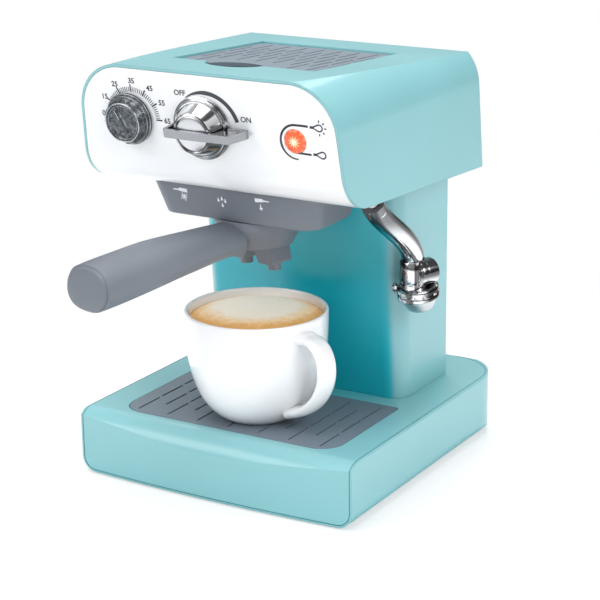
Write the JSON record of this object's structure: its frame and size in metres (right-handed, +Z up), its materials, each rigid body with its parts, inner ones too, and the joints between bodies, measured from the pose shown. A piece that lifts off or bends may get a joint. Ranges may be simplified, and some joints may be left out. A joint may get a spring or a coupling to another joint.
{
  "type": "toy coffee maker",
  "caption": "Toy espresso machine with a turning timer dial, lever switch, swinging steam wand, locking filter holder, lift-out grate and lid, battery door and a cup.",
  "frame": {"origin": "middle of the whole footprint, cup and handle included, on the plane the feet stand on", "axes": "+X to the machine's own left side as seen from the front right, +Y to its back, +Z up"},
  "size_m": [0.183, 0.2628, 0.24],
  "materials": {
    "cell_jacket": "gloss",
    "chrome_plate": "mirror",
    "coffee_foam": "foamed",
    "dark_plastic": "matte",
    "foot_rubber": "matte",
    "green_board": "matte",
    "grey_plastic": "satin",
    "gunmetal": "mottled gloss",
    "red_lamp": "clear",
    "satin_metal": "satin",
    "steel_screw": "machined",
    "teal_shell": "soft gloss",
    "white_china": "gloss",
    "white_panel": "gloss"
  },
  "bodies": {
    "machine": {"base_shell": "teal_shell", "base_screws": "steel_screw", "rubber_feet": "foot_rubber", "base_bottom_plate": "grey_plastic", "base_screw_posts": "grey_plastic", "column_shell": "teal_shell", "rear_cover_screws": "steel_screw", "column_rear_cover": "teal_shell", "battery_box": "dark_plastic", "batteries": "cell_jacket", "battery_contacts": "steel_screw", "head_shell": "teal_shell", "head_floor": "white_panel", "front_panel": "white_panel", "water_tank": "grey_plastic", "timer_body": "dark_plastic", "switch_body": "dark_plastic", "lamp_lens": "red_lamp", "lamp_led": "red_lamp", "circuit_board": "green_board", "board_chips": "dark_plastic", "board_posts": "dark_plastic", "group_skirt": "grey_plastic", "group_head": "dark_plastic", "speaker": "dark_plastic"},
    "timer_dial": {"dial_skirt": "gunmetal", "dial_knob": "gunmetal", "dial_pointer": "gunmetal", "dial_shaft": "dark_plastic"},
    "power_switch": {"switch_flange": "chrome_plate", "switch_cone": "chrome_plate", "switch_disc": "satin_metal", "switch_shaft": "dark_plastic", "switch_lever": "satin_metal"},
    "lock_ring": {"lock_collar": "grey_plastic"},
    "filter_holder": {"holder_bowl": "grey_plastic", "holder_handle": "grey_plastic", "handle_end_cap": "grey_plastic", "twin_spout": "grey_plastic", "filter_basket": "grey_plastic"},
    "steam_wand": {"wand_pivot": "chrome_plate", "wand_tube": "chrome_plate", "wand_collar": "chrome_plate", "wand_valve": "chrome_plate", "wand_flange": "chrome_plate", "wand_nozzle": "chrome_plate"},
    "grate": {"drip_grate": "grey_plastic", "grate_legs": "grey_plastic"},
    "lid": {"top_lid": "grey_plastic"},
    "rear_door": {"battery_door": "teal_shell", "battery_door_screw": "steel_screw"},
    "coffee_cup": {"cup": "white_china", "coffee_insert": "coffee_foam"}
  },
  "joints": [
    {"name": "dial_turn", "type": "hinge", "parent": "machine", "child": "timer_dial", "pos_m": [-0.05076, -0.05574, 0.2105], "axis": [0, -0.9894, -0.1455], "range_deg": [-118, 56]},
    {"name": "switch_turn", "type": "hinge", "parent": "machine", "child": "power_switch", "pos_m": [-0.00446, -0.05567, 0.21], "axis": [0, -0.9894, -0.1455], "range_deg": [0, 100]},
    {"name": "lock_turn", "type": "hinge", "parent": "machine", "child": "lock_ring", "pos_m": [-0.00246, -0.00458, 0.15], "axis": [0, 0, 1], "range_deg": [-37, 48]},
    {"name": "holder_drop", "type": "slide", "parent": "lock_ring", "child": "filter_holder", "axis": [0, 0, -1], "range_m": [0, 0.0075]},
    {"name": "wand_swing", "type": "hinge", "parent": "machine", "child": "steam_wand", "pos_m": [0.07354, -0.01158, 0.165], "axis": [0, 0, -1], "range_deg": [0, 110]},
    {"name": "grate_lift", "type": "slide", "parent": "machine", "child": "grate", "axis": [0, 0, 1], "range_m": [0, 0.0105]},
    {"name": "lid_lift", "type": "slide", "parent": "machine", "child": "lid", "axis": [0, 0.0543, 0.9985], "range_m": [0, 0.05]},
    {"name": "door_pull", "type": "slide", "parent": "machine", "child": "rear_door", "axis": [0, 1, 0], "range_m": [0, 0.05]},
    {"name": "cup_lift", "type": "slide", "parent": "grate", "child": "coffee_cup", "axis": [0, 0, 1], "range_m": [0, 0.0035]}
  ]
}
